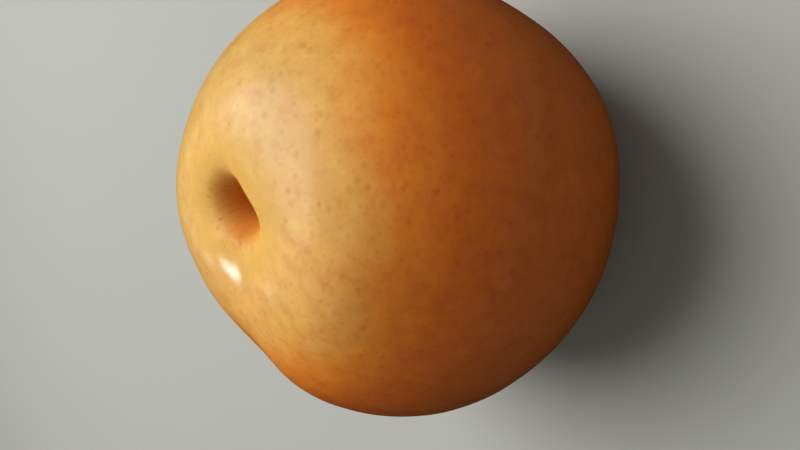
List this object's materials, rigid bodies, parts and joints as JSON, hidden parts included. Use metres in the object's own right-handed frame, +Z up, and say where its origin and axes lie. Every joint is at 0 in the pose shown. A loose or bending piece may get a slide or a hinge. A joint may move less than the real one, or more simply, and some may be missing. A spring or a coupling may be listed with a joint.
{
  "type": "asian pear",
  "caption": "Large round russet pear as picked, with a deep stem cavity, a short clipped stem and a lobed calyx end it stands on.",
  "frame": {"origin": "on the surface the pear stands on, under the middle of its bounding box", "axes": "+Z up from the calyx end to the stem end, which is the fruit's shortest extent; +X and +Y across the belly"},
  "size_m": [0.111, 0.1128, 0.101],
  "materials": {
    "skin": "satin waxy skin, golden to orange brown, finely speckled",
    "stem_wood": "matt bark, dry clipped end"
  },
  "bodies": {
    "root": {"fruit": "skin", "stem": "stem_wood"}
  },
  "joints": []
}
